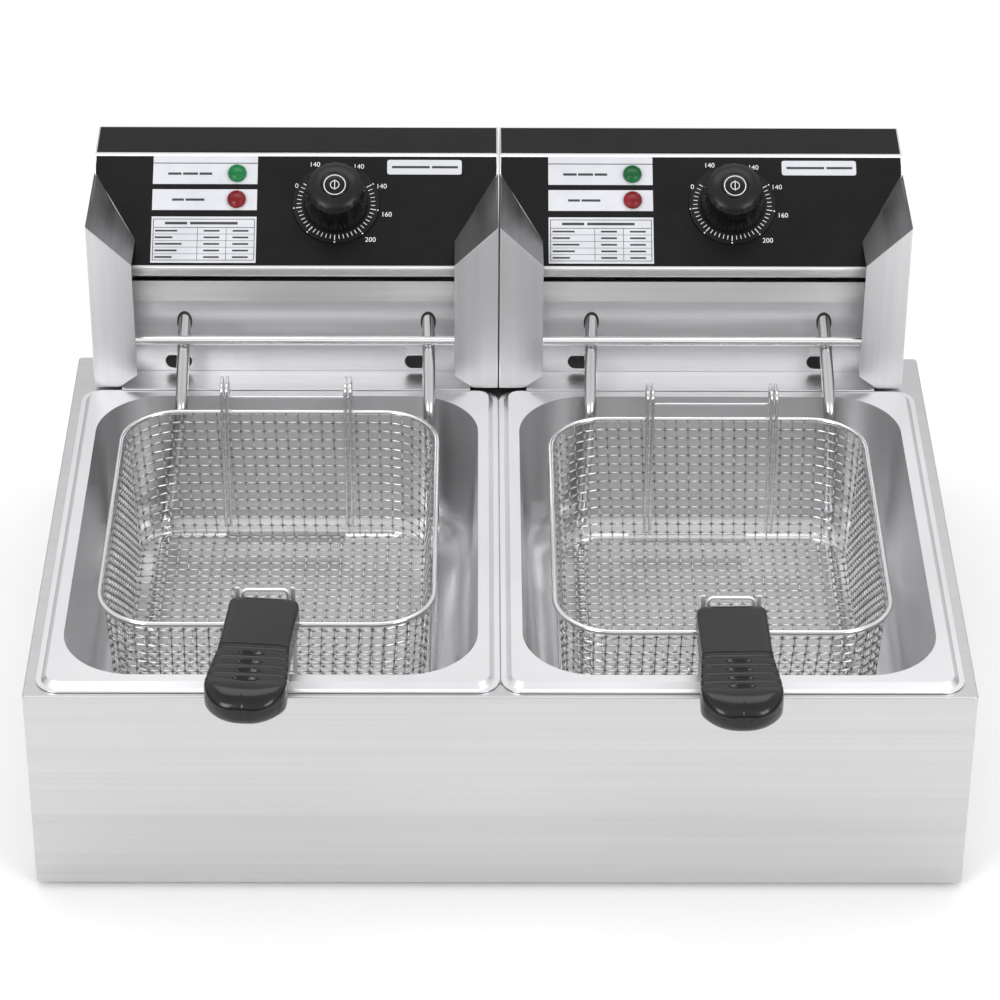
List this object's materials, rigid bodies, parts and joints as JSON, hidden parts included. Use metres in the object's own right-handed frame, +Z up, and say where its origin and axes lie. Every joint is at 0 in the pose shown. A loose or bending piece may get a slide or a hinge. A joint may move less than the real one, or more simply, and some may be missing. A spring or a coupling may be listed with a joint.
{
  "type": "deep fryer",
  "caption": "Countertop electric fryer with side-by-side lift-out tanks, wire baskets with moulded handles, and lift-off control heads carrying the heating elements.",
  "frame": {"origin": "centre of the bounding box, on the surface the feet stand on", "axes": "+X to the right, -Y is the front with the handles, +Z up"},
  "size_m": [0.544, 0.5052, 0.2789],
  "materials": {
    "cabinet_steel": "brushed stainless",
    "polished_steel": "deep-drawn satin stainless",
    "brushed_steel": "brushed stainless",
    "black_film": "satin black film",
    "white_label": "printed label",
    "green_lens": "translucent lens",
    "red_lens": "translucent lens",
    "white_plastic": "moulded",
    "black_plastic": "moulded",
    "zinc_plate": "zinc plated",
    "element_steel": "drawn tube",
    "dark_rubber": "matt",
    "bright_wire": "bright wire",
    "nickel_bulb": "nickel-plated tube",
    "woven_wire": "crimped woven wire",
    "handle_plastic": "fine-grained phenolic",
    "knob_plastic": "moulded",
    "knob_cap_plastic": "glossy moulded"
  },
  "bodies": {
    "cabinet": {"cabinet_shell": "cabinet_steel", "cabinet_base": "cabinet_steel", "centre_rail": "cabinet_steel", "rubber_feet": "dark_rubber", "foot_screws": "zinc_plate"},
    "left_tank": {"left_tank": "polished_steel"},
    "left_head": {"left_head_left_cheek": "brushed_steel", "left_head_right_cheek": "brushed_steel", "left_head_back_cover": "brushed_steel", "left_head_front_plate": "brushed_steel", "left_head_panel": "brushed_steel", "left_panel_film": "black_film", "left_panel_labels": "white_label", "left_green_lamp": "green_lens", "left_red_lamp": "red_lens", "left_lamp_bodies": "white_plastic", "left_dial_ring": "black_plastic", "left_thermostat_body": "zinc_plate", "left_heating_element": "element_steel", "left_element_glands": "dark_rubber", "left_hanging_rod": "bright_wire", "left_sensor_bulb": "nickel_bulb", "left_terminal_block": "white_plastic", "left_cable_gland": "black_plastic", "left_housing_screws": "bright_wire"},
    "left_basket": {"left_basket_mesh": "woven_wire", "left_basket_frame": "bright_wire", "left_handle_bracket": "bright_wire", "left_handle_grip": "handle_plastic"},
    "left_knob": {"left_thermostat_shaft": "zinc_plate", "left_knob": "knob_plastic", "left_knob_cap": "knob_cap_plastic"},
    "right_tank": {"right_tank": "polished_steel"},
    "right_head": {"right_head_left_cheek": "brushed_steel", "right_head_right_cheek": "brushed_steel", "right_head_back_cover": "brushed_steel", "right_head_front_plate": "brushed_steel", "right_head_panel": "brushed_steel", "right_panel_film": "black_film", "right_panel_labels": "white_label", "right_green_lamp": "green_lens", "right_red_lamp": "red_lens", "right_lamp_bodies": "white_plastic", "right_dial_ring": "black_plastic", "right_thermostat_body": "zinc_plate", "right_heating_element": "element_steel", "right_element_glands": "dark_rubber", "right_hanging_rod": "bright_wire", "right_sensor_bulb": "nickel_bulb", "right_terminal_block": "white_plastic", "right_cable_gland": "black_plastic", "right_housing_screws": "bright_wire"},
    "right_basket": {"right_basket_mesh": "woven_wire", "right_basket_frame": "bright_wire", "right_handle_bracket": "bright_wire", "right_handle_grip": "handle_plastic"},
    "right_knob": {"right_thermostat_shaft": "zinc_plate", "right_knob": "knob_plastic", "right_knob_cap": "knob_cap_plastic"}
  },
  "joints": [
    {"name": "left_tank_lift", "type": "slide", "parent": "cabinet", "child": "left_tank", "axis": [0, 0, 1], "range_m": [0, 0.11]},
    {"name": "left_head_lift", "type": "slide", "parent": "left_tank", "child": "left_head", "axis": [0, 0, 1], "range_m": [0, 0.12]},
    {"name": "left_basket_lift", "type": "slide", "parent": "left_head", "child": "left_basket", "axis": [0, 0, 1], "range_m": [0, 0.11]},
    {"name": "left_knob_turn", "type": "hinge", "parent": "left_head", "child": "left_knob", "pos_m": [-0.1033, 0.1777, 0.24804], "axis": [0, 0.5878, -0.809], "range_deg": [0, 270]},
    {"name": "right_tank_lift", "type": "slide", "parent": "cabinet", "child": "right_tank", "axis": [0, 0, 1], "range_m": [0, 0.11]},
    {"name": "right_head_lift", "type": "slide", "parent": "right_tank", "child": "right_head", "axis": [0, 0, 1], "range_m": [0, 0.12]},
    {"name": "right_basket_lift", "type": "slide", "parent": "right_head", "child": "right_basket", "axis": [0, 0, 1], "range_m": [0, 0.11]},
    {"name": "right_knob_turn", "type": "hinge", "parent": "right_head", "child": "right_knob", "pos_m": [0.1484, 0.1777, 0.24804], "axis": [0, 0.5878, -0.809], "range_deg": [0, 270]}
  ]
}
